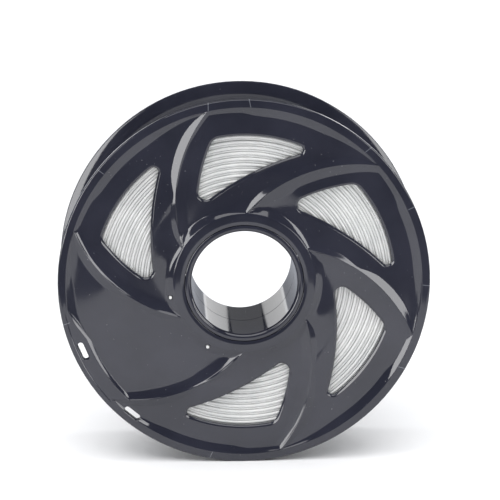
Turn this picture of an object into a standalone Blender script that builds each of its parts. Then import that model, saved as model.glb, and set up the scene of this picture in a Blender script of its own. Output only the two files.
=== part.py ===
"""Filament spool: two swirl flanges clamped on a winding drum by a two-piece hub sleeve, wound with filament.

The spool stands on its two rims. Its axis runs along Y, the front flange faces -Y, and the origin is the
middle of the bore. All sizes are in metres and all angles in degrees. On a flange, an angle is measured
from +X towards +Z, as seen from the front.
"""

import math

import bmesh
import bpy
from mathutils import Matrix, Vector

# ---- driving dimensions -------------------------------------------------------------------------------
FLANGE_RADIUS = 0.100
SPOOL_WIDTH = 0.060
FLANGE_THICKNESS = 0.0042
BORE_RADIUS = 0.0285
BORE_DRAFT = 0.0003  # the bore is this much tighter at the middle seam than at its mouths
DRUM_OVER_COLLAR = 0.0006  # how far the drum's radius exceeds the collar's
WINDING_MARGIN = 0.0110  # from the flange's edge in to the outer layer of filament
FILAMENT_DIAMETER = 0.00175

FIT_GAP = 0.0003  # clearance between two mouldings that meet
EDGE_CHAMFER = 0.0005

# hub sleeve
SLEEVE_WALL = 0.0020
LIP_WIDTH = 0.0034  # from the bore's wall to the lip's outer edge
LIP_THICKNESS = 0.0024
LIP_ROUND = 0.0018
CLIP_COUNT = 3
CLIP_WIDTH = 0.0090
CLIP_WALL = 0.0016
CLIP_REACH = 0.0110  # how far a clip arm reaches across the middle seam
CLIP_ROOT = 0.0050  # how far the arm runs back along its own sleeve half
CLIP_EYE = 0.0040  # the eye's length along the axis
LUG_HEIGHT = 0.0014

# drum
DRUM_WALL = 0.0024
SPIGOT_WALL = 0.0018
SPIGOT_HEIGHT = 0.0030
RIB_COUNT = 6
RIB_WALL = 0.0014
RIB_HEIGHT = 0.0022

# flange relief
PETALS = 6
RIM_WIDTH = 0.0043
COLLAR_WIDTH = 0.0060
PAN_DEPTH = 0.0021
RIDGE_WIDTH = 0.0007  # flat crest of a ridge, measured round the flange
RIDGE_ARC = 0.0793  # each ridge is an arc of this radius
RIDGE_OFFSET = 0.06145  # from the spool's axis to the centre of that arc
RIDGE_PHASE = -13.74  # angle of the first ridge's centre
PAN_BEVEL = 0.0062  # slope on the side of the pan that leads, measured round the flange
PAN_WALL_AT_RIM = 0.0050  # steep side of the pan, near the rim
PAN_WALL_AT_HUB = 0.0014
RIM_SLOPE_NARROW = 0.0025
RIM_SLOPE_WIDE = 0.0048
COLLAR_SLOPE = 0.0045

# windows through five of the six petals; the sixth is the label panel
LABEL_PETAL = 2
# a window has three sides, each an arc; centres (x, z) and angles are those of petal 0, at the top
WINDOW_RIM_WEB = 0.0154  # from the rim's inner edge to the window
RIM_SIDE_SPAN = (45, 120)  # each side is drawn between two angles, then trimmed where it meets the next
LEAD_SIDE_ARC = 0.0900
LEAD_SIDE_CENTRE = (0.0652, 0.0409)
LEAD_SIDE_SPAN = (120, 200)
TRAIL_SIDE_ARC = 0.1400
TRAIL_SIDE_CENTRE = (0.0669, -0.0651)
TRAIL_SIDE_SPAN = (150, 75)
WINDOW_CORNERS = (0.0060, 0.0040, 0.0026)  # fillets: rim and leading side, inner corner, tip

# filament holders in the label petal
LEDGE_WIDTH = 0.0066  # flat ledge inside the rim that holds the slots
LEDGE_START = 197.5
LEDGE_END = 233.0
SLOT_ANGLES = (203.2, 229.8)
SLOT_RIM_WEB = 0.0055  # from the flange's edge to the slot's middle line
SLOT_LENGTH = 0.0104
SLOT_WIDTH = 0.0032
ANCHOR_ANGLES = (190.7, 240.6)
ANCHOR_RADIUS = 0.0014
ANCHOR_DRUM_WEB = 0.0016  # from the drum to the anchor hole's middle

# mesh fineness
ROUND_STEPS = 98  # puts a flat of the rim at the bottom, so that the spool stands still
SIDE_STEPS = 10
ARC_STEPS = 5
PEG_STEPS = 12

# ---- sizes that follow --------------------------------------------------------------------------------
FRONT = -SPOOL_WIDTH / 2
INNER = FRONT + FLANGE_THICKNESS  # inner face of the front flange
PAN_FLOOR = FRONT + PAN_DEPTH
LIP_RADIUS = BORE_RADIUS + LIP_WIDTH
SEAT_RADIUS = LIP_RADIUS + FIT_GAP
SLEEVE_RADIUS = BORE_RADIUS + SLEEVE_WALL
SHOULDER_RADIUS = SLEEVE_RADIUS + FIT_GAP
COLLAR_RADIUS = SEAT_RADIUS + COLLAR_WIDTH
DRUM_RADIUS = COLLAR_RADIUS + DRUM_OVER_COLLAR
WOUND_RADIUS = FLANGE_RADIUS - WINDING_MARGIN
RIM_RADIUS = FLANGE_RADIUS - RIM_WIDTH
PETAL_PITCH = 360 / PETALS
DRUM_BORE = DRUM_RADIUS - DRUM_WALL
SPIGOT_RADIUS = DRUM_BORE - FIT_GAP
WINDOW_OUTER = RIM_RADIUS - WINDOW_RIM_WEB
SLOT_RADIUS = FLANGE_RADIUS - SLOT_RIM_WEB
ANCHOR_CIRCLE = DRUM_RADIUS + ANCHOR_DRUM_WEB
WOUND_HALF = -INNER - FIT_GAP  # half the winding's width
PAST = 0.0020  # how far a cutter runs past what it cuts


def polar(radius, angle, y=0.0):
    """A point at this radius and angle, on the plane y."""
    turn = math.radians(angle)
    return Vector((radius * math.cos(turn), y, radius * math.sin(turn)))


def clear_scene():
    for obj in list(bpy.data.objects):
        bpy.data.objects.remove(obj, do_unlink=True)


def collection(name):
    made = bpy.data.collections.new(name)
    bpy.context.scene.collection.children.link(made)
    return made


def material(name, colour, roughness, metallic=0.0):
    made = bpy.data.materials.new(name)
    made.use_nodes = True
    shader = made.node_tree.nodes["Principled BSDF"]
    shader.inputs["Base Color"].default_value = (*colour, 1.0)
    shader.inputs["Roughness"].default_value = roughness
    shader.inputs["Metallic"].default_value = metallic
    return made


def object_from(bm, name, holder):
    """Makes an object of a bmesh, with its faces pointing out."""
    bmesh.ops.remove_doubles(bm, verts=bm.verts, dist=1e-6)
    bmesh.ops.recalc_face_normals(bm, faces=bm.faces)
    mesh = bpy.data.meshes.new(name)
    bm.to_mesh(mesh)
    bm.free()
    obj = bpy.data.objects.new(name, mesh)
    holder.objects.link(obj)
    return obj


def as_cutter(obj):
    obj.hide_render = True
    obj.display_type = "WIRE"
    return obj


def turned(name, profile, holder, steps=ROUND_STEPS):
    """A closed profile of (radius, y) points turned about the Y axis with a Screw modifier."""
    bm = bmesh.new()
    points = [bm.verts.new((radius, y, 0)) for radius, y in profile]
    for one, two in zip(points, points[1:] + points[:1]):
        bm.edges.new((one, two))
    mesh = bpy.data.meshes.new(name)
    bm.to_mesh(mesh)
    bm.free()
    obj = bpy.data.objects.new(name, mesh)
    holder.objects.link(obj)
    screw = obj.modifiers.new("turn", "SCREW")
    screw.axis = "Y"
    screw.steps = steps
    screw.render_steps = steps
    screw.use_merge_vertices = True
    screw.merge_threshold = 0.00001
    screw.use_normal_calculate = True
    return obj


def cut(obj, cutter, operation="DIFFERENCE"):
    boolean = obj.modifiers.new(cutter.name, "BOOLEAN")
    boolean.operation = operation
    boolean.solver = "EXACT"
    boolean.object = cutter
    return boolean


def baked(obj, name, holder):
    """A new object whose mesh is the first one's evaluated mesh. The first one is removed."""
    bpy.context.view_layer.update()
    graph = bpy.context.evaluated_depsgraph_get()
    mesh = bpy.data.meshes.new_from_object(obj.evaluated_get(graph))
    mesh.name = name
    made = bpy.data.objects.new(name, mesh)
    made.matrix_world = obj.matrix_world.copy()
    holder.objects.link(made)
    bpy.data.objects.remove(obj, do_unlink=True)
    return made


def prism(name, outline, low, high, holder):
    """A flat outline of points in the XZ plane, drawn as a filled curve from y = low to y = high."""
    curve = bpy.data.curves.new(name, "CURVE")
    curve.dimensions = "2D"
    curve.fill_mode = "BOTH"
    curve.extrude = (high - low) / 2
    spline = curve.splines.new("POLY")
    spline.points.add(len(outline) - 1)
    spline.use_cyclic_u = True
    for point, place in zip(spline.points, outline):
        point.co = (place.x, place.z, 0, 1)
    obj = bpy.data.objects.new(name, curve)
    # a curve is drawn in its own XY plane, which is stood up here so that its Y is the spool's Z
    obj.matrix_world = Matrix.Translation((0, (low + high) / 2, 0)) @ Matrix.Rotation(math.pi / 2, 4, "X")
    holder.objects.link(obj)
    solid = baked(obj, name, holder)
    weld = bmesh.new()
    weld.from_mesh(solid.data)
    bmesh.ops.remove_doubles(weld, verts=weld.verts, dist=1e-6)
    weld.to_mesh(solid.data)
    weld.free()
    return as_cutter(solid)


def box_at(name, centre, size, turn, holder):
    """A box of that size whose X runs outwards at the angle turn."""
    bpy.ops.mesh.primitive_cube_add(size=1, location=centre, rotation=(0, -math.radians(turn), 0))
    obj = bpy.context.object
    obj.name = name
    obj.scale = size
    for other in list(obj.users_collection):
        other.objects.unlink(obj)
    holder.objects.link(obj)
    return as_cutter(obj)


def peg_cutter(name, centre, radius, low, high, holder):
    """A round cutter along Y through a flange."""
    bpy.ops.mesh.primitive_cylinder_add(
        vertices=PEG_STEPS,
        radius=radius,
        depth=high - low,
        location=centre + Vector((0, (low + high) / 2, 0)),
        rotation=(math.pi / 2, 0, 0),
    )
    obj = bpy.context.object
    obj.name = name
    for other in list(obj.users_collection):
        other.objects.unlink(obj)
    holder.objects.link(obj)
    return as_cutter(obj)


# ---- swirl --------------------------------------------------------------------------------------------
def ridge_angle(radius, petal):
    """Where the ridge on the trailing side of a petal stands at this radius."""
    cosine = (radius**2 + RIDGE_OFFSET**2 - RIDGE_ARC**2) / (2 * RIDGE_OFFSET * radius)
    return RIDGE_PHASE + petal * PETAL_PITCH + math.degrees(math.acos(cosine))


def degrees_at(width, radius):
    """The angle that a width round the flange takes up at this radius."""
    return math.degrees(width / radius)


def evenly(start, end, steps):
    return [start + (end - start) * i / steps for i in range(steps + 1)]


def pan_wall(radius):
    """Width of the steep side: narrow at the hub, wide towards the rim."""
    share = (radius - COLLAR_RADIUS) / (RIM_RADIUS - COLLAR_RADIUS)
    share = min(1.0, max(0.0, share))
    return PAN_WALL_AT_HUB + (PAN_WALL_AT_RIM - PAN_WALL_AT_HUB) * share * share * (3 - 2 * share)


def pan_outline(petal, outer, inner, lead, trail, outer_lead=None):
    """The points round a pan. lead and trail give its gap to the two ridges at a radius."""
    outer_lead = outer if outer_lead is None else outer_lead
    crest = RIDGE_WIDTH / 2
    points = []
    for radius in evenly(outer_lead, inner, SIDE_STEPS):
        angle = ridge_angle(radius, petal + 1) - degrees_at(crest + lead(radius), radius)
        points.append(polar(radius, angle))
    start = ridge_angle(inner, petal + 1) - degrees_at(crest + lead(inner), inner)
    end = ridge_angle(inner, petal) + degrees_at(crest + trail(inner), inner)
    points += [polar(inner, angle) for angle in evenly(start, end, SIDE_STEPS)[1:-1]]
    for radius in evenly(inner, outer, SIDE_STEPS):
        angle = ridge_angle(radius, petal) + degrees_at(crest + trail(radius), radius)
        points.append(polar(radius, angle))
    start = ridge_angle(outer, petal) + degrees_at(crest + trail(outer), outer)
    end = ridge_angle(outer_lead, petal + 1) - degrees_at(crest + lead(outer_lead), outer_lead)
    radii = evenly(outer, outer_lead, SIDE_STEPS)
    angles = evenly(start, end, SIDE_STEPS)
    points += [polar(radius, angle) for radius, angle in list(zip(radii, angles))[1:-1]]
    return points


def pan_cutter(name, petal, holder):
    """The recess of one petal: a wide mouth at the face, closing to a smaller floor."""
    mouth = pan_outline(petal, RIM_RADIUS, COLLAR_RADIUS, lambda r: 0.0, lambda r: 0.0)
    floor = pan_outline(
        petal,
        RIM_RADIUS - RIM_SLOPE_WIDE,
        COLLAR_RADIUS + COLLAR_SLOPE,
        lambda r: PAN_BEVEL,
        pan_wall,
        RIM_RADIUS - RIM_SLOPE_NARROW,
    )
    # the slopes run on to just above the face, so that the mouth on the face has the outline's size
    over = PAST / PAN_DEPTH
    above = [m + (m - f) * over for m, f in zip(mouth, floor)]
    bm = bmesh.new()
    high = [bm.verts.new((p.x, FRONT - PAST, p.z)) for p in above]
    low = [bm.verts.new((p.x, PAN_FLOOR, p.z)) for p in floor]
    bm.faces.new(high)
    bm.faces.new(low)
    for i in range(len(high)):
        j = (i + 1) % len(high)
        bm.faces.new((high[i], high[j], low[j], low[i]))
    return as_cutter(object_from(bm, name, holder))


# ---- windows ------------------------------------------------------------------------------------------
def shifted(line, distance):
    """A polyline moved sideways, to the left of its direction in the XZ plane."""
    moved = []
    for i, point in enumerate(line):
        along = line[min(i + 1, len(line) - 1)] - line[max(i - 1, 0)]
        side = Vector((-along.z, 0, along.x)).normalized()
        moved.append(point + side * distance)
    return moved


def crossing(one, two):
    """(index on one, index on two, point) where two polylines cross."""
    for i in range(len(one) - 1):
        for j in range(len(two) - 1):
            a, b = one[i + 1] - one[i], two[j + 1] - two[j]
            gap = two[j] - one[i]
            cross = a.x * b.z - a.z * b.x
            if abs(cross) < 1e-15:
                continue
            s = (gap.x * b.z - gap.z * b.x) / cross
            t = (gap.x * a.z - gap.z * a.x) / cross
            if 0 <= s <= 1 and 0 <= t <= 1:
                return i + s, j + t, one[i] + a * s
    raise ValueError("the two sides don't cross")


def point_on(line, index):
    whole = min(int(index), len(line) - 2)
    return line[whole].lerp(line[whole + 1], index - whole)


def rounded_outline(sides, radii, steps):
    """Sides that run anticlockwise, trimmed and joined by fillets of the given radii."""
    count = len(sides)
    trims = [[0.0, len(side) - 1.0] for side in sides]
    arcs = []
    for i, radius in enumerate(radii):
        j = (i + 1) % count
        at_i, at_j, centre = crossing(shifted(sides[i], radius), shifted(sides[j], radius))
        trims[i][1], trims[j][0] = at_i, at_j
        start = point_on(sides[i], at_i) - centre
        end = point_on(sides[j], at_j) - centre
        first = math.atan2(start.z, start.x)
        turn = (math.atan2(end.z, end.x) - first) % (2 * math.pi)
        turns = [math.degrees(first + turn * k / steps) for k in range(steps + 1)]
        arcs.append([centre + polar(radius, angle) for angle in turns])
    outline = []
    for i, side in enumerate(sides):
        low, high = trims[i]
        outline += [point_on(side, low + (high - low) * k / SIDE_STEPS) for k in range(1, SIDE_STEPS)]
        outline += arcs[i]
    return outline


def window_side(arc, centre, span, petal):
    """One side of a petal's window: an arc about a centre that turns with the petal."""
    turn = petal * PETAL_PITCH
    across, height = centre
    middle = polar(math.hypot(across, height), math.degrees(math.atan2(height, across)) + turn)
    return [middle + polar(arc, angle + turn) for angle in evenly(*span, 4 * SIDE_STEPS)]


def window_outline(petal):
    """A curved triangle between the rim, the leading ridge and the trailing ridge."""
    sides = [
        window_side(WINDOW_OUTER, (0, 0), RIM_SIDE_SPAN, petal),
        window_side(LEAD_SIDE_ARC, LEAD_SIDE_CENTRE, LEAD_SIDE_SPAN, petal),
        window_side(TRAIL_SIDE_ARC, TRAIL_SIDE_CENTRE, TRAIL_SIDE_SPAN, petal),
    ]
    return rounded_outline(sides, WINDOW_CORNERS, ARC_STEPS)


def slot_outline(angle):
    """A round-ended slot that runs round the flange."""
    half = SLOT_LENGTH / 2 - SLOT_WIDTH / 2
    centre = polar(SLOT_RADIUS, angle)
    out = polar(1, angle)
    along = polar(1, angle + 90)
    points = []
    for end, first in ((1, 0), (-1, 180)):
        for k in range(ARC_STEPS + 1):
            turn = math.radians(first + 180 * k / ARC_STEPS)
            offset = out * math.cos(turn) + along * math.sin(turn)
            points.append(centre + along * half * end + offset * SLOT_WIDTH / 2)
    return points


def make_flange(scratch, holder):
    """One flange moulding, in the front flange's place."""
    chamfer = EDGE_CHAMFER
    lip_seat = FRONT + LIP_THICKNESS
    spigot_end = INNER + SPIGOT_HEIGHT
    profile = [
        (SEAT_RADIUS, FRONT),
        (FLANGE_RADIUS - chamfer, FRONT),
        (FLANGE_RADIUS, FRONT + chamfer),
        (FLANGE_RADIUS, INNER - chamfer),
        (FLANGE_RADIUS - chamfer, INNER),
        (SPIGOT_RADIUS, INNER),
        (SPIGOT_RADIUS, spigot_end),
        (SPIGOT_RADIUS - SPIGOT_WALL, spigot_end),
        (SPIGOT_RADIUS - SPIGOT_WALL, INNER),
        (SHOULDER_RADIUS, INNER),
        (SHOULDER_RADIUS, lip_seat + FIT_GAP),
        (SEAT_RADIUS, lip_seat + FIT_GAP),
    ]
    disc = turned("flange_blank", profile, holder)
    for petal in range(PETALS):
        cut(disc, pan_cutter(f"pan_cutter_{petal}", petal, scratch))
        if petal != LABEL_PETAL:
            outline = window_outline(petal)
            cut(disc, prism(f"window_cutter_{petal}", outline, FRONT - PAST, INNER + PAST, scratch))
    # the ledge is put back over the label pan before its slots are cut
    inner, outer = RIM_RADIUS - LEDGE_WIDTH, RIM_RADIUS + RIM_WIDTH / 2
    ledge = [polar(outer, angle) for angle in evenly(LEDGE_START, LEDGE_END, SIDE_STEPS)]
    ledge += [polar(inner, angle) for angle in evenly(LEDGE_END, LEDGE_START, SIDE_STEPS)]
    ledge_top = FRONT + EDGE_CHAMFER
    cut(disc, prism("ledge_patch", ledge, ledge_top, INNER - EDGE_CHAMFER, scratch), "UNION")
    for number, angle in enumerate(SLOT_ANGLES):
        cut(disc, prism(f"slot_cutter_{number}", slot_outline(angle), FRONT - PAST, INNER + PAST, scratch))
    for number, angle in enumerate(ANCHOR_ANGLES):
        centre = polar(ANCHOR_CIRCLE, angle)
        name = f"anchor_cutter_{number}"
        cut(disc, peg_cutter(name, centre, ANCHOR_RADIUS, FRONT - PAST, INNER + PAST, scratch))
    return baked(disc, "front_flange", holder)


# ---- hub sleeve ---------------------------------------------------------------------------------------
def sleeve_profile(seam):
    """The front half: a tube with a rounded lip at its mouth, ending at y = -seam."""
    arc = [
        (BORE_RADIUS + LIP_ROUND * (1 - math.sin(turn)), FRONT + LIP_ROUND * (1 - math.cos(turn)))
        for turn in (math.radians(90 * k / ARC_STEPS) for k in range(ARC_STEPS + 1))
    ]
    return arc[::-1] + [
        (LIP_RADIUS - EDGE_CHAMFER, FRONT),
        (LIP_RADIUS, FRONT + EDGE_CHAMFER),
        (LIP_RADIUS, FRONT + LIP_THICKNESS),
        (SLEEVE_RADIUS, FRONT + LIP_THICKNESS),
        (SLEEVE_RADIUS, -seam),
        (BORE_RADIUS - BORE_DRAFT, -seam),
    ]


def clip_angles():
    return [90 + 360 / CLIP_COUNT * (i + 0.25) for i in range(CLIP_COUNT)]


def make_sleeves(scratch, holder):
    """The front half carries clip arms with an eye each, and the rear half the lugs that they snap over."""
    seam = FIT_GAP / 2
    arm_inner = SLEEVE_RADIUS - EDGE_CHAMFER
    arm_outer = SLEEVE_RADIUS + FIT_GAP + CLIP_WALL
    front = turned("front_blank", sleeve_profile(seam), holder)
    rear = turned("rear_blank", sleeve_profile(seam), holder)
    rear = baked(rear, "rear_blank", holder)
    rear.data.transform(Matrix.Rotation(math.pi, 4, "Z"))
    eye_middle = CLIP_REACH - CLIP_EYE
    relief_start = -seam - FIT_GAP
    relief_length = CLIP_REACH + PAST - relief_start
    relief_middle = relief_start + relief_length / 2
    for number, angle in enumerate(clip_angles()):
        middle = (arm_inner + arm_outer) / 2
        length = CLIP_REACH + CLIP_ROOT
        arm = box_at(
            f"clip_arm_{number}",
            polar(middle, angle, (CLIP_REACH - CLIP_ROOT) / 2),
            (arm_outer - arm_inner, length, CLIP_WIDTH),
            angle,
            scratch,
        )
        relief = box_at(
            f"clip_relief_{number}",
            polar(SLEEVE_RADIUS + FIT_GAP - SLEEVE_WALL / 2, angle, relief_middle),
            (SLEEVE_WALL, relief_length, CLIP_WIDTH + PAST),
            angle,
            scratch,
        )
        eye = box_at(
            f"clip_eye_{number}",
            polar(middle, angle, eye_middle),
            (arm_outer - arm_inner + PAST, CLIP_EYE, CLIP_WIDTH / 2),
            angle,
            scratch,
        )
        cut(arm, relief)
        cut(arm, eye)
        cut(front, arm, "UNION")
        lug = box_at(
            f"clip_lug_{number}",
            polar(SLEEVE_RADIUS + LUG_HEIGHT / 2 - EDGE_CHAMFER / 2, angle, eye_middle),
            (LUG_HEIGHT + EDGE_CHAMFER, CLIP_EYE - 2 * FIT_GAP, CLIP_WIDTH / 2 - 2 * FIT_GAP),
            angle,
            scratch,
        )
        cut(rear, lug, "UNION")
    return baked(front, "front_hub_sleeve", holder), baked(rear, "rear_hub_sleeve", holder)


# ---- drum and filament --------------------------------------------------------------------------------
def make_drum(scratch, holder):
    """The tube that the filament is wound on, with stiffening ribs inside."""
    half = -INNER - FIT_GAP
    profile = [(DRUM_RADIUS, half), (DRUM_BORE, half), (DRUM_BORE, -half), (DRUM_RADIUS, -half)]
    drum = turned("drum_blank", profile, holder)
    rib_half = half - SPIGOT_HEIGHT - FIT_GAP
    for number in range(RIB_COUNT):
        angle = 360 / RIB_COUNT * number
        rib = box_at(
            f"drum_rib_{number}",
            polar(DRUM_BORE - RIB_HEIGHT / 2 + EDGE_CHAMFER, angle),
            (RIB_HEIGHT + EDGE_CHAMFER, 2 * rib_half, RIB_WALL),
            angle,
            scratch,
        )
        cut(drum, rib, "UNION")
    return baked(drum, "winding_drum", holder)


def make_winding(holder):
    """The wound filament as one turned body, rounded where the outer layer meets its sides."""
    inner = DRUM_RADIUS + FIT_GAP
    edge = FILAMENT_DIAMETER / 2
    half = WOUND_HALF
    profile = [
        (inner, -half),
        (WOUND_RADIUS - edge, -half),
        (WOUND_RADIUS, -half + edge),
        (WOUND_RADIUS, half - edge),
        (WOUND_RADIUS - edge, half),
        (inner, half),
    ]
    return baked(turned("winding_blank", profile, holder), "filament_winding", holder)


def main():
    clear_scene()
    spool = collection("filament_spool")
    scratch = collection("cutters")
    plastic = material("black_plastic", (0.028, 0.029, 0.035), 0.16)
    core = material("core_plastic", (0.030, 0.031, 0.036), 0.35)
    strand = material("white_filament", (0.86, 0.86, 0.85), 0.38)

    flange = make_flange(scratch, spool)
    rear = bpy.data.objects.new("rear_flange", flange.data)
    rear.rotation_euler = (0, 0, math.pi)
    spool.objects.link(rear)
    front_sleeve, rear_sleeve = make_sleeves(scratch, spool)
    drum = make_drum(scratch, spool)
    winding = make_winding(spool)
    for obj, finish in (
        (flange, plastic),
        (front_sleeve, plastic),
        (rear_sleeve, plastic),
        (drum, core),
        (winding, strand),
    ):
        obj.data.materials.clear()
        obj.data.materials.append(finish)
        obj.data.shade_smooth()
        obj.data.set_sharp_from_angle(angle=math.radians(30))


main()
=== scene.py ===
"""A spool of white filament: two glossy black swirl flanges on a snap-together hub, with the filament
wound between them. It stands on its rims, with its axis along Y and the front flange facing -Y.
"""

import math

import bmesh
import bpy
import numpy as np
from mathutils import Matrix, Vector


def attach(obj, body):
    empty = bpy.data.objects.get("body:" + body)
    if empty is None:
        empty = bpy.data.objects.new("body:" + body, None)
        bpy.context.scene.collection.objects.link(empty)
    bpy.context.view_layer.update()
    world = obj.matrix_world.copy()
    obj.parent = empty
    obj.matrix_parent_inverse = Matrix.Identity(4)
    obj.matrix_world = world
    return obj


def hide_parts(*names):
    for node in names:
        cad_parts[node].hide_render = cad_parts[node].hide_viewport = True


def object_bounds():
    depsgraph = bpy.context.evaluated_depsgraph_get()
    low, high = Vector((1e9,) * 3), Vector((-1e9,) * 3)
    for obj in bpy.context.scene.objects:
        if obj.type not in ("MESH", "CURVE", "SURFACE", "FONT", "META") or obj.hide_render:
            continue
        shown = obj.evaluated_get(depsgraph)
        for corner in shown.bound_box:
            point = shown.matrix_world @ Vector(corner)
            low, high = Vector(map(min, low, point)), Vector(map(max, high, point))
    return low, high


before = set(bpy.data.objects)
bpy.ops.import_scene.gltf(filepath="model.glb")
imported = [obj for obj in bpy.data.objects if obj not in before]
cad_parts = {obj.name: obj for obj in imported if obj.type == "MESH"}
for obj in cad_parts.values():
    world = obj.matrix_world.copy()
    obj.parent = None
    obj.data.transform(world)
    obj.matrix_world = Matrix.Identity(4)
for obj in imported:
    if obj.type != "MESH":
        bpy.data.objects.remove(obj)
cad_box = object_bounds()

# ---- camera -------------------------------------------------------------------------------------------
# A long lens a little over a metre away, looking slightly down on the front flange and a touch from
# the left.
VIEW_TURN = math.radians(-2.57)
VIEW_RISE = math.radians(13.55)
VIEW_DISTANCE = 1.343
VIEW_AIM = Vector((0.0043, 0.0, 0.0113))

lens = bpy.data.cameras.new("studio_camera")
lens.lens = 176.8
lens.sensor_width = 36
lens.clip_start = 0.05
lens.clip_end = 30
camera = bpy.data.objects.new("studio_camera", lens)
bpy.context.scene.collection.objects.link(camera)
view_back = Vector((
    math.sin(VIEW_TURN) * math.cos(VIEW_RISE),
    -math.cos(VIEW_TURN) * math.cos(VIEW_RISE),
    math.sin(VIEW_RISE),
))
camera.location = VIEW_AIM + view_back * VIEW_DISTANCE
camera.rotation_euler = view_back.to_track_quat("Z", "Y").to_euler()
bpy.context.scene.camera = camera
bpy.context.scene.view_settings.view_transform = "Standard"


# ---- studio -------------------------------------------------------------------------------------------
# A white floor that runs out of sight, a pale world, and soft lights. The sheets that the gloss shows, a
# dark room beyond the table's front edge, a round mat and a shaded table behind, are seen by nothing else.
class Shade:
    """A socket of a shader, with the maths and the nodes that can follow it."""

    def __init__(self, tree, socket=None):
        self.tree = tree
        self.socket = socket

    def node(self, kind, inputs=(), output=0, **settings):
        made = self.tree.nodes.new(kind)
        for name, value in settings.items():
            setattr(made, name, value)
        for name, value in dict(inputs).items():
            if isinstance(value, Shade):
                self.tree.links.new(value.socket, made.inputs[name])
            else:
                made.inputs[name].default_value = value
        return Shade(self.tree, made.outputs[output])

    def maths(self, operation, *values):
        return self.node("ShaderNodeMath", enumerate(values), operation=operation)

    def __add__(self, other):
        return self.maths("ADD", self, other)

    __radd__ = __add__

    def __sub__(self, other):
        return self.maths("SUBTRACT", self, other)

    def __rsub__(self, other):
        return self.maths("SUBTRACT", other, self)

    def __mul__(self, other):
        return self.maths("MULTIPLY", self, other)

    __rmul__ = __mul__

    def size(self):
        return self.maths("ABSOLUTE", self)

    def between(self, low, high, start=0.0, end=1.0):
        """A smooth step: start below low, end above high."""
        return self.node(
            "ShaderNodeMapRange",
            {"Value": self, "From Min": low, "From Max": high, "To Min": start, "To Max": end},
            interpolation_type="SMOOTHSTEP",
        )

    def blend(self, first, second):
        """A colour between first and second, by this value."""
        return self.node("ShaderNodeMix", {0: self, 6: first, 7: second}, output=2, data_type="RGBA")

    def noise(self, scale, detail=2.0, roughness=0.5):
        """Noise that reads this vector."""
        sockets = {"Vector": self, "Scale": scale, "Detail": detail, "Roughness": roughness}
        return self.node("ShaderNodeTexNoise", sockets)


def fresh_material(name):
    """A new material: itself, its Principled node, and a Shade that holds Object coordinates."""
    made = bpy.data.materials.new(name)
    made.use_nodes = True
    shader = made.node_tree.nodes["Principled BSDF"]
    place = Shade(made.node_tree).node("ShaderNodeTexCoord", output="Object")
    return made, shader, place


def feed(shader, socket, value):
    """Links a Shade to a socket of a shader."""
    value.tree.links.new(value.socket, shader.inputs[socket])


FLOOR_SIZE = 16.0
SHEET_SIZE = 14.0
SHEET_LIFT = 0.002  # how far the sheets lie above the floor
bpy.ops.object.select_all(action="DESELECT")
floor_height = cad_box[0][2]
bpy.ops.mesh.primitive_plane_add(size=FLOOR_SIZE, location=(0, 0, floor_height))
floor = bpy.context.object
floor.name = "studio_floor"
paper, paper_shader, _ = fresh_material("white_paper")
paper_shader.inputs["Base Color"].default_value = (0.90, 0.90, 0.905, 1)
paper_shader.inputs["Roughness"].default_value = 0.7
floor.data.materials.append(paper)

TABLE_EDGE = 0.348  # from the spool's middle to where the reflected table ends
bpy.ops.mesh.primitive_plane_add(
    size=SHEET_SIZE, location=(0, -SHEET_SIZE / 2 - TABLE_EDGE, floor_height + SHEET_LIFT)
)
dark_room = bpy.context.object
dark_room.name = "dark_room"
gloom, gloom_shader, _ = fresh_material("dark_room")
gloom_shader.inputs["Base Color"].default_value = (0.02, 0.022, 0.028, 1)
gloom_shader.inputs["Roughness"].default_value = 1.0
dark_room.data.materials.append(gloom)

# a white mat, a little wider than round, lies across the table's edge
MAT_RADIUS = 0.12
MAT_WIDER = 1.12
MAT_MIDDLE = (0.014, -0.30)
bpy.ops.mesh.primitive_circle_add(
    vertices=96,
    radius=MAT_RADIUS,
    fill_type="NGON",
    location=(*MAT_MIDDLE, floor_height + 1.5 * SHEET_LIFT),
)
round_mat = bpy.context.object
round_mat.scale.x = MAT_WIDER
round_mat.name = "round_mat"
round_mat.data.materials.append(paper)

# behind the spool the table is in shade
SHADE_EDGE = 0.14
bpy.ops.mesh.primitive_plane_add(
    size=SHEET_SIZE, location=(0, SHEET_SIZE / 2 + SHADE_EDGE, floor_height + SHEET_LIFT)
)
rear_room = bpy.context.object
rear_room.name = "rear_room"
shaded, shaded_shader, _ = fresh_material("shaded_paper")
shaded_shader.inputs["Base Color"].default_value = (0.30, 0.31, 0.34, 1)
shaded_shader.inputs["Roughness"].default_value = 0.9
rear_room.data.materials.append(shaded)

for sheet in (dark_room, round_mat, rear_room):
    sheet.visible_camera = False
    sheet.visible_diffuse = False
    sheet.visible_shadow = False
    sheet.visible_transmission = False

world = bpy.data.worlds.new("studio")
world.use_nodes = True
bpy.context.scene.world = world
sky = Shade(world.node_tree)
ray_camera = sky.node("ShaderNodeLightPath", output="Is Camera Ray")
ray_glossy = sky.node("ShaderNodeLightPath", output="Is Glossy Ray")
# the gloss sees an almost black room above and around the table
seen = ray_camera.blend((0.64, 0.65, 0.67, 1), (0.93, 0.93, 0.935, 1))
tint = ray_glossy.blend(seen, (0.025, 0.028, 0.036, 1))
backdrop = world.node_tree.nodes["Background"]
world.node_tree.links.new(tint.socket, backdrop.inputs["Color"])
backdrop.inputs["Strength"].default_value = 1.0


def softbox(name, width, height, place, aim, power, gloss_only=False):
    """A rectangular area light that faces the point aim. gloss_only lights reflections and nothing else."""
    light = bpy.data.lights.new(name, "AREA")
    light.shape = "RECTANGLE"
    light.size = width
    light.size_y = height
    light.energy = power
    box = bpy.data.objects.new(name, light)
    bpy.context.scene.collection.objects.link(box)
    box.location = place
    box.rotation_euler = (Vector(place) - Vector(aim)).to_track_quat("Z", "Y").to_euler()
    box.visible_diffuse = not gloss_only
    box.visible_camera = False
    return box


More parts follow.
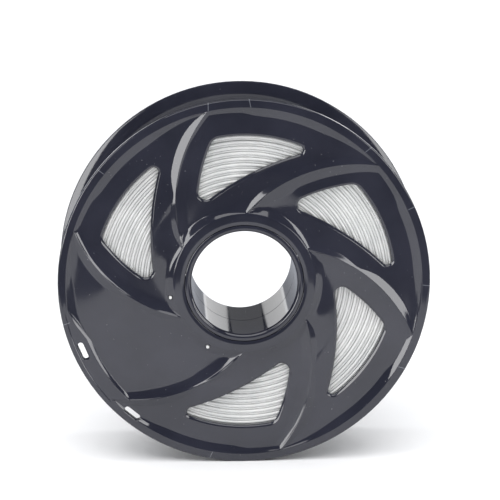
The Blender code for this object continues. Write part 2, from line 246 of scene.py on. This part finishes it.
softbox("overhead", 2.6, 3.4, (0.0, -1.2, 2.4), (0, -1.2, 0), 76)
# the far floor's light is kept out of the gloss
floor_wash = softbox("floor_wash", 3.0, 2.0, (0, 2.4, 1.8), (0, 2.4, 0), 24)
floor_wash.visible_glossy = False
# the bright streaks on the ridges' steep sides and on the ledge
softbox("right_window", 0.36, 0.40, (0.55, -0.80, 0.20), (0, 0, 0.03), 2.7, gloss_only=True)
softbox("far_right", 0.56, 0.95, (1.10, -0.36, 0.45), (0, 0, 0), 9.0, gloss_only=True)
softbox("left_window", 0.32, 0.44, (-0.40, -0.60, 0.09), (0, 0, 0.07), 3.0, gloss_only=True)
# a box high on the left, and three faint ones behind the spool
softbox("high_left", 0.45, 0.45, (-0.78, -0.44, 0.87), (0, 0, 0.05), 2.2)
softbox("rear_left", 0.45, 0.50, (-0.52, 1.9, 0.13), (0, 0, 0), 0.9)
softbox("rear_right", 0.45, 0.50, (0.52, 1.9, 0.13), (0, 0, 0), 0.9)
softbox("rear_middle", 0.60, 0.50, (0.0, 1.95, 0.45), (0, 0, 0), 0.2)


# ---- flanges ------------------------------------------------------------------------------------------
# Each flange is one moulding of glossy black polystyrene. Six petals are sunk into it between curved
# ridges; five have a window, and the sixth is a label panel with a ledge that two strand slots go through.
FRONT = cad_box[0][1] * 1000  # millimetres from here to the end of the file
THICKNESS = 4.2
SEAT_RADIUS = 32.2  # the hole that the sleeve goes through
COLLAR_RADIUS = 38.2
RIM_RADIUS = 95.7
FLANGE_RADIUS = 100.0
PAN_DEPTH = 1.9
FLOOR_RISE = 0.5  # how much shallower a petal's floor is at its leading ridge
DISH = 1.1  # how much deeper the petals' floor is at the hub
DISH_RADIUS = 58.0  # the dip starts here and is whole at DISH_END
DISH_END = 43.0
COLLAR_SLOPE = 4.6
RIDGE_ARC = 79.3  # each ridge is an arc of this radius
RIDGE_CENTRE = (61.45, -13.74)  # radius and angle of the arc's centre, for the first ridge
WALL_SLOPE = 0.38  # fall of the steep side of a petal
CREST_WIDTH = 0.9  # the short drop beside a ridge, on its gentle side
CREST_SHARE = 0.3  # the part of the depth that this drop takes
FLOOR_RUN = 18.0  # how far the floor takes to make up the depth where that side is low
PETALS = 6
PETAL_TURN = 360 / PETALS
LABEL_PETAL = 2
LABEL_LEDGE = (197.0, 234.0)  # angles where the ledge starts and ends
LEDGE_RADIUS = 89.9
LEDGE_SLOPE = 2.0
GROOVE_RADIUS = 97.2  # a fine groove runs outside the ledge
GROOVE_DEPTH = 0.22
GROOVE_HALF_WIDTH = 0.3
EDGE_ROUND = 0.7  # rounding of the flange's outer edge
SLOT_ANGLES = (202.9, 229.8)
SLOT_RADIUS = 94.3
SLOT_HALF_LENGTH = 3.5
SLOT_END_ROUND = 1.55
ANCHOR_ANGLES = (190.7, 240.6)
ANCHOR_RADIUS = 40.4
ANCHOR_HOLE = 1.3


def ridge_angle(radius, ridge, arc=RIDGE_ARC):
    """Where an arc about a ridge's centre crosses this radius, in degrees."""
    offset, phase = RIDGE_CENTRE
    cosine = (radius**2 + offset**2 - arc**2) / (2 * offset * radius)
    return phase + PETAL_TURN * ridge + np.degrees(np.arccos(np.clip(cosine, -1, 1)))


def ridge_distance(x, z, ridge):
    """Millimetres outside the arc of a ridge. Inside it the distance is negative."""
    offset, phase = RIDGE_CENTRE
    turn = math.radians(phase + PETAL_TURN * ridge)
    return np.hypot(x - offset * math.cos(turn), z - offset * math.sin(turn)) - RIDGE_ARC


def eased(share, ease=0.04):
    """A slope from 0 to 1 with slightly rounded ends."""
    return 0.5 * (np.sqrt(share**2 + ease**2) - np.sqrt((share - 1) ** 2 + ease**2) + 1)


def lower_of(first, second, ease=0.06):
    """The smaller of two values, with a rounded join."""
    return 0.5 * (first + second - np.sqrt((first - second) ** 2 + ease**2))


def floor_depth(x, z, petal):
    """Depth of a petal's floor, which rises towards the leading ridge and dips towards the hub."""
    trail = np.maximum(ridge_distance(x, z, petal), 0)
    lead = np.maximum(-ridge_distance(x, z, petal + 1), 0)
    share = trail / (trail + lead + 0.001)
    dip = np.clip((DISH_RADIUS - np.hypot(x, z)) / (DISH_RADIUS - DISH_END), 0, 1)
    return PAN_DEPTH - FLOOR_RISE * share + DISH * dip


def trail_width(radius):
    """Width of the steep side of a petal, which pinches out twice along its trailing ridge."""
    return np.interp(
        radius,
        [38, 41, 45, 50, 55, 59, 61, 63, 67, 72, 80, 87, 91, 94, 95.7],
        [0.5, 1.2, 2.5, 3.2, 2.8, 1.5, 0.9, 1.1, 2.3, 3.6, 4.2, 4.1, 3.3, 1.8, 0.5],
    )


def lead_width(radius):
    """Width of the gentle side of a petal, along its leading ridge."""
    return np.interp(radius, [40, 54, 67, 78, 90], [5.8, 6.4, 6.4, 6.0, 4.5])


def rim_shape(petal, share, angle):
    """Outer edge of a petal and the width of its slope there. share runs from the trailing ridge."""
    slope = float(np.interp(
        share,
        [0, 0.05, 0.12, 0.2, 0.3, 0.68, 0.78, 1],
        [0.4, 0.9, 2.0, 3.4, 4.6, 4.7, 2.9, 2.2],
    ))
    if petal != LABEL_PETAL:
        return RIM_RADIUS, slope
    # the ledge grows in over 3.5 degrees and fades over 3
    start, end = LABEL_LEDGE
    ledge = min(1.0, max(0.0, (angle - start) / 3.5 + 1)) * min(1.0, max(0.0, (end - angle) / 3.0 + 1))
    return RIM_RADIUS + (LEDGE_RADIUS - RIM_RADIUS) * ledge, slope + (LEDGE_SLOPE - slope) * ledge


def relief(x, z, petal, edge, slope):
    """Depth of the moulding below its top level, at points in one petal."""
    radius = np.hypot(x, z)
    full = floor_depth(x, z, petal)
    width = trail_width(radius)
    beyond = ridge_distance(x, z, petal)
    wall = np.minimum(WALL_SLOPE * width / full, 1)
    trail = eased(beyond / width) * wall
    trail += (1 - wall) * eased((beyond - width) / FLOOR_RUN, 0.2)
    before = -ridge_distance(x, z, petal + 1)
    lead = CREST_SHARE * eased(before / CREST_WIDTH, 0.1)
    lead += (1 - CREST_SHARE) * eased(before / lead_width(radius))
    rim = eased((edge - radius) / slope)
    collar = eased((radius - COLLAR_RADIUS) / COLLAR_SLOPE)
    depth = lower_of(lower_of(trail, lead), lower_of(rim, collar, 0.15))
    return full * np.clip(depth, 0, 1)


def ring_body(name, spokes, places):
    """A torus primitive whose points are moved to places, an array of spokes by profile points by 3."""
    bpy.ops.object.select_all(action="DESELECT")
    bpy.ops.mesh.primitive_torus_add(major_segments=spokes, minor_segments=places.shape[1])
    ring = bpy.context.object
    ring.name = name
    ring.data.vertices.foreach_set("co", (places * 0.001).astype(np.float32).ravel())
    ring.data.update()
    bpy.ops.object.mode_set(mode="EDIT")
    bpy.ops.mesh.select_all(action="SELECT")
    bpy.ops.mesh.normals_make_consistent(inside=False)
    bpy.ops.object.mode_set(mode="OBJECT")
    return ring


# The moulding is a grid. Its lanes run along the ridges from the collar to the rim, and its stations run
# round the flange. Both crowd together where a slope starts or ends, so that the creases stay crisp.
CREASES = (0, 0.05, 0.12, 0.2, 0.5, 0.86, 0.95, 1.05, 1.2)
FLOOR_LANES = 18
FLOOR_STATIONS = 26
lanes = [("trail", step) for step in CREASES]
lanes += [("floor", (lane + 1) / (FLOOR_LANES + 1)) for lane in range(FLOOR_LANES)]
lanes += [("lead", step) for step in CREASES[:0:-1]]


def lane_angle(radius, petal, side, step):
    """Where a lane crosses the given radii, in degrees."""
    radius = np.clip(radius, COLLAR_RADIUS, RIM_RADIUS)
    if side == "trail":
        return ridge_angle(radius, petal, RIDGE_ARC + trail_width(radius) * step)
    if side == "lead":
        return ridge_angle(radius, petal + 1, RIDGE_ARC - lead_width(radius) * step)
    first = lane_angle(radius, petal, "trail", CREASES[-1])
    last = lane_angle(radius, petal, "lead", CREASES[-1])
    return first + (last - first) * step


back = FRONT + THICKNESS
SHARE_RADIUS = 92.0  # where a lane's place between two ridges is taken
places = []
for petal in range(PETALS):
    for side, step in lanes:
        outer_angle = float(lane_angle(np.array(SHARE_RADIUS), petal, side, step))
        share = (outer_angle - float(ridge_angle(SHARE_RADIUS, petal))) / PETAL_TURN
        edge, slope = rim_shape(petal, share, outer_angle)
        radius = np.concatenate([
            [SEAT_RADIUS + 0.15, 34.5, 37.0],
            COLLAR_RADIUS + COLLAR_SLOPE * np.array(CREASES),
            np.linspace(COLLAR_RADIUS + 1.5 * COLLAR_SLOPE, edge - 1.5 * slope, FLOOR_STATIONS),
            edge - slope * np.array(CREASES[::-1]),
            np.linspace(edge + 0.25, GROOVE_RADIUS - 0.5, 4),
            GROOVE_RADIUS + np.array([-0.3, -0.15, 0, 0.15, 0.3, 1.2, 2.1]),
        ])
        turn = np.radians(lane_angle(radius, petal, side, step))
        x, z = radius * np.cos(turn), radius * np.sin(turn)
        depth = relief(x, z, petal, edge, slope)
        # the groove is there only where the ledge lies well inside the rim
        if edge < RIM_RADIUS - 2:
            depth += GROOVE_DEPTH * np.clip(1 - np.abs(radius - GROOVE_RADIUS) / GROOVE_HALF_WIDTH, 0, 1)
        face = np.stack([x, FRONT + depth, z], axis=1)
        out, inn = turn[-1], turn[0]
        corner = [
            (FLANGE_RADIUS - EDGE_ROUND * (1 - math.sin(a)), FRONT + EDGE_ROUND * (1 - math.cos(a)))
            for a in np.radians([30, 60, 90])
        ]
        corner += [
            (FLANGE_RADIUS, back - EDGE_ROUND),
            (FLANGE_RADIUS - 0.2, back - 0.2),
            (FLANGE_RADIUS - EDGE_ROUND, back),
        ]
        outer = [(r * math.cos(out), y, r * math.sin(out)) for r, y in corner]
        # the back is flat: a few stations turn step by step from the rim's angle to the bore's
        rear = [
            (r * math.cos(a), back, r * math.sin(a))
            for r, a in zip(np.linspace(92, 36, 8), np.linspace(out, inn, 10)[1:-1])
        ]
        bore = [(SEAT_RADIUS, back - 0.4), (SEAT_RADIUS, FRONT + 0.3), (SEAT_RADIUS + 0.04, FRONT + 0.06)]
        inner = [(r * math.cos(inn), y, r * math.sin(inn)) for r, y in bore]
        places.append(np.vstack([face, outer, rear, inner]))
flange = ring_body("front_flange_moulding", len(places), np.array(places))


def circle_meeting(first, second, near):
    """Where two circles (x, z, radius) meet, on the side of the point near."""
    one, two = Vector(first[:2]), Vector(second[:2])
    gap = (two - one).length
    along = (first[2] ** 2 - second[2] ** 2 + gap**2) / (2 * gap)
    height = math.sqrt(max(first[2] ** 2 - along**2, 0))
    unit = (two - one) / gap
    side = Vector((-unit.y, unit.x)) * height
    options = [one + unit * along + side, one + unit * along - side]
    return min(options, key=lambda point: (point - Vector(near)).length)


# Three circles (x, z, radius) bound the window of the top petal: one about the bore, and two about centres
# of their own. A point is in the window when it is inside the first two and outside the third.
WINDOW_RIM = (0.0, 0.0, 80.3)
WINDOW_LEAD = (65.2, 40.9, 90.0)
WINDOW_TRAIL = (66.9, -65.1, 140.0)
WINDOW_CORNERS = (  # the fillet of each corner and a point near it
    (6.0, (-16.0, 79.0)),
    (4.0, (-21.5, 46.5)),
    (2.6, (34.5, 72.5)),
)


def short_turn(middle, first, second):
    """The angle at which first lies about middle, and the shorter turn from there to second."""
    start, end = [math.atan2((point - middle).y, (point - middle).x) for point in (first, second)]
    return start, (end - start + math.pi) % (2 * math.pi) - math.pi


def window_outline():
    """The window's points: a fillet at each corner, and then the side that follows it."""
    rim, lead, trail = WINDOW_RIM, WINDOW_LEAD, WINDOW_TRAIL
    pairs = ((rim, -1, lead, -1), (lead, -1, trail, 1), (trail, 1, rim, -1))
    corners = []
    for (first, first_side, second, second_side), (radius, near) in zip(pairs, WINDOW_CORNERS):
        shrunk = (*first[:2], first[2] + first_side * radius)
        other = (*second[:2], second[2] + second_side * radius)
        middle = circle_meeting(shrunk, other, near)
        touches = []
        for circle, side in ((first, first_side), (second, second_side)):
            away = (middle - Vector(circle[:2])).normalized() * -side
            touches.append(middle + away * radius)
        corners.append((middle, radius, touches))
    outline = []
    for number, (middle, radius, touches) in enumerate(corners):
        start, turn = short_turn(middle, *touches)
        for k in range(9):
            a = start + turn * k / 8
            outline.append(middle + Vector((math.cos(a), math.sin(a))) * radius)
        circle = (lead, trail, rim)[number]
        after = corners[(number + 1) % 3][2][0]
        hub = Vector(circle[:2])
        start, turn = short_turn(hub, touches[1], after)
        for k in range(1, 20):
            a = start + turn * k / 20
            outline.append(hub + Vector((math.cos(a), math.sin(a))) * circle[2])
    return outline


def flared_cutter(name, outline, levels, petal=None):
    """A closed prism of the outline. levels are (distance outwards, y) pairs, from the back to the front.

    With a petal given, all but the rear levels follow that petal's floor.
    """
    count = len(outline)
    middle = sum(outline, Vector((0, 0))) / count
    normals = []
    for i in range(count):
        along = (outline[(i + 1) % count] - outline[i - 1]).normalized()
        side = Vector((along.y, -along.x))
        normals.append(side if side.dot(outline[i] - middle) > 0 else -side)
    solid = bmesh.new()
    rings = []
    for away, y in levels:
        ring = []
        for point, normal in zip(outline, normals):
            place = point + normal * away
            deep = y
            if petal is not None and y < back - 0.5:
                deep += float(floor_depth(point.x, point.y, petal)) - PAN_DEPTH
            ring.append(solid.verts.new((place.x * 0.001, deep * 0.001, place.y * 0.001)))
        rings.append(ring)
    for low, high in zip(rings, rings[1:]):
        for i in range(count):
            solid.faces.new((low[i - 1], low[i], high[i], high[i - 1]))
    solid.faces.new(rings[0])
    solid.faces.new(rings[-1])
    bmesh.ops.recalc_face_normals(solid, faces=solid.faces)
    mesh = bpy.data.meshes.new(name)
    solid.to_mesh(mesh)
    solid.free()
    cutter = bpy.data.objects.new(name, mesh)
    bpy.context.scene.collection.objects.link(cutter)
    return cutter


def carve(body, cutter):
    """Cuts the cutter out of the body and removes the cutter."""
    bpy.ops.object.select_all(action="DESELECT")
    body.select_set(True)
    bpy.context.view_layer.objects.active = body
    cut = body.modifiers.new("cut", "BOOLEAN")
    cut.operation = "DIFFERENCE"
    cut.solver = "EXACT"
    cut.object = cutter
    bpy.ops.object.modifier_apply(modifier="cut")
    bpy.data.objects.remove(cutter, do_unlink=True)


floor_level = FRONT + PAN_DEPTH
LIP = 1.25  # width of the slope round a window
lip_levels = [(0.4, back + 1), (0.4, back), (0.0, back - 0.3), (0.0, floor_level + 0.95)]
lip_levels += [(0.12, floor_level + 0.66), (LIP - 0.25, floor_level + 0.08), (LIP, floor_level)]
lip_levels += [(LIP + 0.6, FRONT - 2)]
top_window = window_outline()
for petal in range(PETALS):
    if petal == LABEL_PETAL:
        continue
    turn = Matrix.Rotation(math.radians(PETAL_TURN * petal), 2)
    carve(flange, flared_cutter("window_cutter", [turn @ point for point in top_window], lip_levels, petal))

slot_levels = [(0.0, back + 1), (0.0, FRONT + 0.7), (0.25, FRONT + 0.2)]
slot_levels += [(0.7, FRONT - 0.2), (0.7, FRONT - 1)]
for angle in SLOT_ANGLES:
    turn = math.radians(angle)
    out = Vector((math.cos(turn), math.sin(turn)))
    along = Vector((-out.y, out.x))
    slot = []
    for end in (1, -1):
        for k in range(9):
            a = math.pi * k / 8
            outwards = SLOT_RADIUS + SLOT_END_ROUND * end * math.cos(a)
            slot.append(out * outwards + along * end * (SLOT_HALF_LENGTH + SLOT_END_ROUND * math.sin(a)))
    carve(flange, flared_cutter("slot_cutter", slot, slot_levels))

for angle in ANCHOR_ANGLES:
    turn = math.radians(angle)
    middle = Vector((math.cos(turn), math.sin(turn))) * ANCHOR_RADIUS
    hole_turns = np.radians(np.arange(0, 360, 15))
    hole = [middle + Vector((math.cos(a), math.sin(a))) * ANCHOR_HOLE for a in hole_turns]
    carve(flange, flared_cutter("anchor_cutter", hole, [(0.0, back + 1), (0.0, FRONT - 1)]))

bpy.ops.object.select_all(action="DESELECT")
flange.select_set(True)
bpy.context.view_layer.objects.active = flange
bpy.ops.object.shade_smooth_by_angle(angle=math.radians(30))

TICK_ANGLES = (24.4, 47.8, 88.2, 101.3, 140.9, 192.5, 259.3, 330.6, 358.8)
TICK_START = (0.0955, 0.0965)  # in metres from the axis: where a tick fades in
TICK_RADIUS = 0.0975
BLACKS = ((0.018, 0.019, 0.029, 1), (0.026, 0.027, 0.040, 1))
SPECK_GREY = (0.20, 0.20, 0.22, 1)
TICK_GREY = (0.22, 0.23, 0.26, 1)


def black_plastic(name, ticks=()):
    """Glossy black styrene: haze, hairline scratches, lint specks, and pale stress marks at the ticks."""
    made, shader, place = fresh_material(name)
    haze = place.noise(28, detail=3)
    grain = place.noise(900, detail=2)
    stretched = place.node(
        "ShaderNodeMapping", {"Vector": place, "Rotation": (0.2, 0.6, 0.4), "Scale": (40, 900, 2200)}
    )
    hairs = stretched.noise(1.0, detail=1).between(0.70, 0.80)
    specks = place.noise(1500, detail=0).between(0.87, 0.89)
    sideways = place.node("ShaderNodeSeparateXYZ", {"Vector": place}, output="X")
    height = Shade(made.node_tree, sideways.socket.node.outputs["Z"])
    squared = sideways * sideways + height * height
    radius = squared.maths("SQRT", squared)
    marks = None
    for number, angle in enumerate(ticks):
        turn = math.radians(angle)
        slant = 0.25 * math.sin(number * 2.4)
        across = height * math.cos(turn) - sideways * math.sin(turn) + (radius - TICK_RADIUS) * slant
        ahead = (sideways * math.cos(turn) + height * math.sin(turn)).between(*TICK_START)
        line = across.size().between(0.00008, 0.00022, 0.75, 0.0) * ahead
        marks = line if marks is None else marks.maths("MAXIMUM", marks, line)
    colour = haze.between(0.3, 0.7).blend(*BLACKS)
    colour = specks.blend(colour, SPECK_GREY)
    if marks is not None:
        colour = marks.blend(colour, TICK_GREY)
    feed(shader, "Base Color", colour)
    rough = 0.035 + haze * 0.05 + hairs * 0.05 + specks * 0.3
    feed(shader, "Roughness", rough)
    bumps = haze * 0.2 + grain * 0.05 + specks * 0.4
    relief_sockets = {"Height": bumps, "Strength": 0.12, "Distance": 0.0004}
    bump = place.node("ShaderNodeBump", relief_sockets, output="Normal")
    feed(shader, "Normal", bump)
    shader.inputs["IOR"].default_value = 1.58
    return made


flange_plastic = black_plastic("flange_black", TICK_ANGLES)
flange.data.materials.clear()
flange.data.materials.append(flange_plastic)
rear_flange = flange.copy()
rear_flange.data = flange.data.copy()
rear_flange.name = "rear_flange_moulding"
bpy.context.scene.collection.objects.link(rear_flange)
rear_flange.data.transform(Matrix.Rotation(math.pi, 4, "Z"))
rear_flange.data.materials.clear()
rear_flange.data.materials.append(black_plastic("rear_flange_black"))
for piece, node in ((flange, "front_flange"), (rear_flange, "rear_flange")):
    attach(piece, "root")
    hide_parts(node)


# ---- hub sleeve ---------------------------------------------------------------------------------------
# Two tubes of the same glossy plastic go in from the two sides and snap together in the middle. Each has
# a rounded lip that clamps its flange, and a small chamfer inside the seam.
BORE_RADIUS = 28.5
SLEEVE_WALL = 2.0
MOUTH_ROUND = 1.9
CLAMP_REACH = 3.4  # how far the lip stands out from the bore
CLAMP_THICKNESS = 2.4
SEAM_GAP = 0.15  # from each tube's end to the middle of the bore
sleeve_profile = [
    (BORE_RADIUS + MOUTH_ROUND * (1 - math.sin(a)), FRONT + MOUTH_ROUND * (1 - math.cos(a)))
    for a in np.radians(np.arange(0, 91, 9))
]
sleeve_profile += [
    (BORE_RADIUS, FRONT + 2.8),
    (BORE_RADIUS, -0.8),
    (BORE_RADIUS, -0.3),
    (BORE_RADIUS + 0.12, -SEAM_GAP),
    (BORE_RADIUS + SLEEVE_WALL, -SEAM_GAP),
    (BORE_RADIUS + SLEEVE_WALL, FRONT + CLAMP_THICKNESS),
    (BORE_RADIUS + CLAMP_REACH, FRONT + CLAMP_THICKNESS),
    (BORE_RADIUS + CLAMP_REACH, FRONT + 0.3),
    (BORE_RADIUS + CLAMP_REACH - 0.09, FRONT + 0.09),
    (BORE_RADIUS + CLAMP_REACH - 0.3, FRONT),
]
turns = np.radians(np.arange(0, 360, 2.5))
places = np.array([[(r * math.cos(t), y, r * math.sin(t)) for r, y in sleeve_profile] for t in turns])
hub_plastic = black_plastic("hub_black")
for node, half_turn in (("front_hub_sleeve", 0.0), ("rear_hub_sleeve", math.pi)):
    sleeve = ring_body(node + "_tube", len(turns), places)
    sleeve.data.transform(Matrix.Rotation(half_turn, 4, "Z"))
    bpy.ops.object.shade_smooth_by_angle(angle=math.radians(38))
    sleeve.data.materials.clear()
    sleeve.data.materials.append(hub_plastic)
    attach(sleeve, "root")
    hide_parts(node)


# ---- winding drum -------------------------------------------------------------------------------------
# The filament is wound on this ribbed tube of the same black plastic, which sits between the flanges on
# their spigots. It is hidden inside, so its CAD node stays as it is and only gets the plastic.
drum = bpy.data.objects["winding_drum"]
drum.material_slots[0].material = black_plastic("drum_black")


# ---- filament -----------------------------------------------------------------------------------------
# 1.75 mm white filament, wound side to side in layers. On the two faces of the winding every other layer
# turns half a strand further in, and each turn wanders a little, so the strands show as uneven rings.
STRAND = 1.75
LAYER = STRAND * 0.866
WOUND_INNER = 39.9
WOUND_OUTER = 89.0
WOUND_HALF = 25.5
STAGGER = 0.84  # how much further in every other layer turns
DRIFT_LIMIT = 0.3  # how far a turn may wander from its radius
FACE_CLEARANCE = 0.1  # from the outermost strands to the face of the winding
layers = int((WOUND_OUTER - STRAND / 2 - WOUND_INNER) / LAYER) + 1
seed = np.random.default_rng(7)
ring_turns = np.linspace(0, 2 * math.pi, 220, endpoint=False)


def wander(waves, size):
    """A smooth random wave round a turn."""
    total = np.zeros_like(ring_turns)
    for wave in range(1, waves + 1):
        total += seed.normal() * np.cos(wave * ring_turns + seed.uniform(0, 2 * math.pi)) / wave**0.5
    return size * total / waves**0.5


filament, filament_shader, filament_place = fresh_material("white_filament")
tone = filament_place.noise(60, detail=3)
fine = filament_place.noise(1500, detail=2)
WHITES = ((0.62, 0.625, 0.62, 1), (0.73, 0.73, 0.72, 1))
feed(filament_shader, "Base Color", tone.between(0.3, 0.7).blend(*WHITES))
feed(filament_shader, "Roughness", 0.30 + fine * 0.16)
filament_bump = filament_place.node(
    "ShaderNodeBump", {"Height": fine, "Strength": 0.25, "Distance": 0.00005}, output="Normal"
)
feed(filament_shader, "Normal", filament_bump)

section = np.radians(np.arange(0, 360, 60) + 30)
for side in (-1, 1):
    drift = wander(4, 0.10)
    depth_wave = wander(5, 0.9)
    rings = []
    for layer in range(layers):
        drift = 0.8 * drift + wander(7, 0.07)
        depth_wave = 0.85 * depth_wave + wander(5, 0.45)
        inset = STAGGER / 2 * (1 - np.cos(math.pi * layer + 0.8 * np.sin(depth_wave)))
        radius = WOUND_INNER + layer * LAYER + np.clip(drift, -DRIFT_LIMIT, DRIFT_LIMIT)
        radius = np.minimum(radius, WOUND_OUTER - STRAND / 2)
        y = side * (WOUND_HALF - STRAND / 2 - FACE_CLEARANCE - inset)
        around = radius[:, None] + STRAND / 2 * np.cos(section)[None, :]
        across = y[:, None] + STRAND / 2 * np.sin(section)[None, :]
        cos, sin = np.cos(ring_turns)[:, None], np.sin(ring_turns)[:, None]
        places = np.stack([around * cos, across, around * sin], axis=2)
        rings.append(ring_body("strand", len(ring_turns), places))
    bpy.ops.object.select_all(action="DESELECT")
    for ring in rings:
        ring.select_set(True)
    bpy.context.view_layer.objects.active = rings[0]
    bpy.ops.object.join()
    face = bpy.context.object
    face.name = "filament_front_side" if side < 0 else "filament_rear_side"
    bpy.ops.object.shade_smooth()
    face.data.materials.clear()
    face.data.materials.append(filament)
    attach(face, "root")

# The outer layer is one helix from side to side, and a turned core behind the strands closes the gaps.
HELIX_MARGIN = 0.2  # from each end of the helix to the face of the winding
STRAND_GAP = 0.04
LAP_STEPS = 170
SWAY = 0.12  # how far the strand swings sideways and in depth
OUTER_INSET = 0.25
helix_width = 2 * WOUND_HALF - STRAND - 2 * HELIX_MARGIN
laps = int(helix_width / (STRAND + STRAND_GAP))
path = bpy.data.curves.new("filament_outer_layer", "CURVE")
path.dimensions = "3D"
path.bevel_depth = STRAND / 2000
path.bevel_resolution = 1
path.use_fill_caps = True
spline = path.splines.new("POLY")
spline.points.add(laps * LAP_STEPS)
for index, point in enumerate(spline.points):
    lap = index / LAP_STEPS
    turn = 2 * math.pi * lap
    y = (lap / laps - 0.5) * helix_width + SWAY * math.sin(3 * turn + lap)
    radius = WOUND_OUTER - STRAND / 2 - OUTER_INSET + SWAY * math.sin(1.7 * turn + 0.6 * lap)
    point.co = (radius * math.cos(turn) / 1000, y / 1000, radius * math.sin(turn) / 1000, 1)
outer_layer = bpy.data.objects.new("filament_outer_layer", path)
bpy.context.scene.collection.objects.link(outer_layer)
bpy.ops.object.select_all(action="DESELECT")
outer_layer.select_set(True)
bpy.context.view_layer.objects.active = outer_layer
bpy.ops.object.convert(target="MESH")
bpy.ops.object.shade_smooth()
outer_layer.data.materials.append(filament)
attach(outer_layer, "root")

# The strand's two tucked ends fill the anchor holes of the front flange.
TUCKED_LENGTH = 3.8
TUCKED_DEPTH = 2.25  # from the flange's top level to the middle of the tucked length
for number, angle in enumerate(ANCHOR_ANGLES):
    turn = math.radians(angle)
    middle = Vector((ANCHOR_RADIUS * math.cos(turn), FRONT + TUCKED_DEPTH, ANCHOR_RADIUS * math.sin(turn)))
    bpy.ops.object.select_all(action="DESELECT")
    bpy.ops.mesh.primitive_cylinder_add(
        vertices=24,
        radius=STRAND / 2000,
        depth=TUCKED_LENGTH / 1000,
        location=middle / 1000,
        rotation=(math.pi / 2, 0, 0),
    )
    end = bpy.context.object
    end.name = f"filament_tucked_end_{number + 1}"
    rounding = end.modifiers.new("cut_edge", "BEVEL")
    rounding.width = 0.00025
    rounding.segments = 2
    bpy.ops.object.modifier_apply(modifier="cut_edge")
    bpy.ops.object.transform_apply(location=True, rotation=True, scale=True)
    bpy.ops.object.shade_smooth_by_angle(angle=math.radians(50))
    end.data.materials.append(filament)
    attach(end, "root")

CORE_INNER = 39.3
CORE_OUTER = 86.8
core_half = WOUND_HALF - STRAND
core_profile = [(CORE_INNER, -core_half), (CORE_OUTER, -core_half)]
core_profile += [(CORE_OUTER, core_half), (CORE_INNER, core_half)]
places = np.array([[(r * math.cos(t), y, r * math.sin(t)) for r, y in core_profile] for t in turns])
core = ring_body("filament_core", len(turns), places)
core.data.materials.clear()
core.data.materials.append(filament)
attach(core, "root")
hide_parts("filament_winding")
